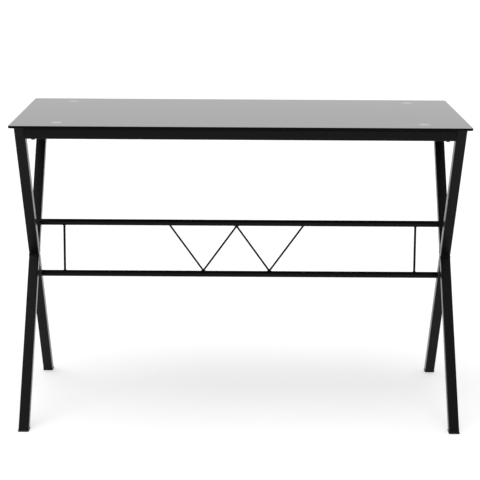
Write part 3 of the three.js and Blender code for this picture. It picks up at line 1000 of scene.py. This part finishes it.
def tab_bead(x, y, z):
    """Straight along the rail, half the weld's length to each side of the hole."""
    ends = points_of([x - TAB_WELD / 2, x + TAB_WELD / 2], y, z)
    return bead(ends, UP, *TAB_BEAD)


tab_beads = []
for side in SIDES:
    for end, end_sign in ENDS.items():
        node = f"{side}_{end}_glass_tab"
        low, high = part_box(node)
        screw_middle, _ = axis_of(f"{side}_{end}_glass_screw")
        rail_face = abs(axis_of(end + "_rail")[0].y) - tube / 2
        skin = tab_skin(screw_middle.x, screw_middle.y, low, high, rail_face - abs(screw_middle.y), end_sign)
        make_piece(f"{side}_{end}_tab", [skin], coat, [node])
        tab_beads.append(tab_bead(screw_middle.x, end_sign * rail_face, low.z))
        tab_beads.append(tab_bead(screw_middle.x, end_sign * rail_face, high.z))
tab_weld_piece = make_piece("tab_welds", tab_beads, coat, weighted=False)
print(tab_weld_piece.name, len(tab_weld_piece.data.polygons), "faces")

# %% [markdown]
# ## Pads and feet
# Clear pads keep the glass off the steel. Under its weight a pad bulges a little at mid height, so its rows
# are rounded rectangles that are widest in the middle. Each foot is a moulding: a flange with a rounded edge
# that stands on the floor, and a plug with three soft barbs that grips the inside of the tube. It leans with
# its leg. Boxes with a Bevel modifier could stand for both, but the bulge and the barbs need their own rows.

# %% Pads
PAD_BULGE, PAD_CORNER = 0.7 * MM, 2 * MM
PAD_ROWS, PAD_CORNER_STEPS = 9, 5


def pad_piece(name, node):
    """Inset = bulge * (1 - root of (1 - 0.98 * height squared)), with the height from -1 to 1. It is the side
    of an ellipse that stops just short of its poles."""
    low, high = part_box(node)
    middle = (low + high) / 2
    rows = []
    width, depth = high.x - low.x, high.y - low.y
    for height in np.linspace(-1, 1, PAD_ROWS):
        inset = PAD_BULGE * (1 - math.sqrt(1 - 0.98 * height * height))
        outline, _ = rounded_rectangle(width - 2 * inset, depth - 2 * inset, PAD_CORNER, PAD_CORNER_STEPS)
        z = middle.z + height * (high.z - low.z) / 2
        rows.append(points_of(*(outline + (middle.x, middle.y)).T, z))
    return make_piece(name, [grid_skin(np.array(rows))], rubber, [node])


pad_nodes = [name for name in sorted(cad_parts) if name.endswith("_pad")]
for node in pad_nodes:
    pad_piece(node + "_clear", node)
print(len(pad_nodes), "pads")

# %% Feet
FOOT_FLANGE, FOOT_LIP, GROUND_BAND = 3.0 * MM, 1.0 * MM, 1 * MM
# How much narrower the flange is, and how far above the floor or below its own top.
FLANGE_BELOW = [(1.4 * MM, 0), (0.4 * MM, 0.25 * MM), (0, 0.8 * MM)]
FLANGE_ABOVE = [(0, 0.6 * MM), (0.3 * MM, 0.15 * MM), (1.0 * MM, 0)]
PLUG_LENGTH, PLUG_GAP, PLUG_CORNER = 20 * MM, 0.3 * MM, 1 * MM
BARB, BARB_RISE, BARB_LENGTH, BARB_STARTS = 0.5 * MM, 1 * MM, 3 * MM, (6 * MM, 11 * MM, 16 * MM)
NOSE, NOSE_TAPER = 1.5 * MM, 2.5 * MM


def foot(name, node, x, way):
    """Rows = rounded squares of a size at a height, stretched and shifted with the leg. The flange is rounded
    below and above, and each barb widens fast and narrows slowly. Edge = 1 where the floor scuffs it, and a
    little more on the corners."""
    flange, plug = tube + 2 * FOOT_LIP, bore - 2 * PLUG_GAP
    core, top = plug - BARB, FOOT_FLANGE + PLUG_LENGTH
    levels = [(flange - less, z) for less, z in FLANGE_BELOW]
    levels += [(flange - less, FOOT_FLANGE - z) for less, z in FLANGE_ABOVE]
    levels += [(core, FOOT_FLANGE)]
    for start in BARB_STARTS:
        levels += [(core, start), (plug, start + BARB_RISE), (core, start + BARB_LENGTH)]
    levels += [(core, top - NOSE), (plug - NOSE_TAPER, top)]
    rows, edges = [], []
    for size, z in levels:
        radius = TUBE_CORNER + FOOT_LIP if z <= FOOT_FLANGE else PLUG_CORNER
        section, corner = rounded_rectangle(size, size, radius)
        y = way * slope * (z - crossing) + section[:, 1] * stretch
        rows.append(points_of(x + section[:, 0], y, z))
        edges.append((1 if z < GROUND_BAND else 0) + 0.4 * corner)
    return make_piece(name, [grid_skin(np.array(rows))], plastic, [node], edges)


feet = []
for side, sign in SIDES.items():
    for end, end_sign in ENDS.items():
        feet.append(foot(f"{side}_{end}_foot_plug", f"{side}_{end}_foot", sign * abs(side_x), -end_sign))
print(len(feet), "feet, flange", FOOT_FLANGE)

# %% [markdown]
# ## Parts that stay as they are
# The spigots inside the rails and the threaded inserts inside the stretchers can't be seen once the desk is
# together. Their CAD shape is right, so they stay, and only get their finish.

# %% Finishes of the hidden pieces
kept = {"rail_spigot": coat, "stretcher_insert": steel}
for name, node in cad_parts.items():
    for ending, material in kept.items():
        if name.endswith(ending):
            node.data.materials.clear()
            node.data.materials.append(material)
print("kept", sorted(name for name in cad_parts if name.endswith(tuple(kept))))

# %% [markdown]
# ## Floor and light
# A white studio sweep and a large soft lamp overhead show a black object best: the glass and the inner faces
# of the legs mirror the white, and the rest stays dark. A wide sun stands for the lamp, because it lights a
# floor of any size evenly. The floor is large enough to be the whole background.

# %% The stage
def pale_floor():
    """Colour and gloss follow one wide cloud, and the floor shines a little of its own."""
    finish = Finish("pale_floor")
    cloud = finish.noise(finish.place(), 0.8, 3)
    return finish.set({
        "Base Color": finish.blend(cloud, (0.64, 0.64, 0.64), (0.67, 0.67, 0.67)),
        "Roughness": 0.7 + cloud * 0.1,
        "Specular IOR Level": 0.0,
        "Emission Color": (1, 1, 1, 1),
        "Emission Strength": 0.54,
    })


def add_floor():
    """One square at height 0, with its middle under the desk's."""
    reach = 60.0
    mesh = bpy.data.meshes.new("floor")
    corners = [(-reach, -reach, 0), (reach, -reach, 0), (reach, reach, 0), (-reach, reach, 0)]
    mesh.from_pydata(corners, [], [(0, 1, 2, 3)])
    mesh.materials.append(pale_floor())
    floor = new_object("floor", mesh)
    return floor


def add_light():
    """The room is white at the horizon and greyer the higher the direction. The lamp shines down aslant."""
    world = Recipe(bpy.data.worlds.new("studio"), "Background")
    bpy.context.scene.world = world.owner
    direction = world.node("ShaderNodeTexCoord", output="Generated")
    height = world.node("ShaderNodeSeparateXYZ", None, {"Vector": direction}, "Z")
    stops = [(0.0, 1.0), (0.14, 0.87), (0.55, 0.55), (1.0, 0.30)]
    world.set({"Color": world.node("ShaderNodeValToRGB", {"stops": stops}, {"Fac": height}, "Color")})
    lamp = bpy.data.lights.new("overhead", "SUN")
    lamp.energy = 1.25
    lamp.angle = math.radians(50)
    light = new_object("overhead", lamp)
    light.rotation_euler = (math.radians(12), math.radians(-8), 0)
    return light


floor, light = add_floor(), add_light()
bpy.context.scene.view_settings.view_transform = "Standard"
print("stage:", floor.name, "and", light.name)
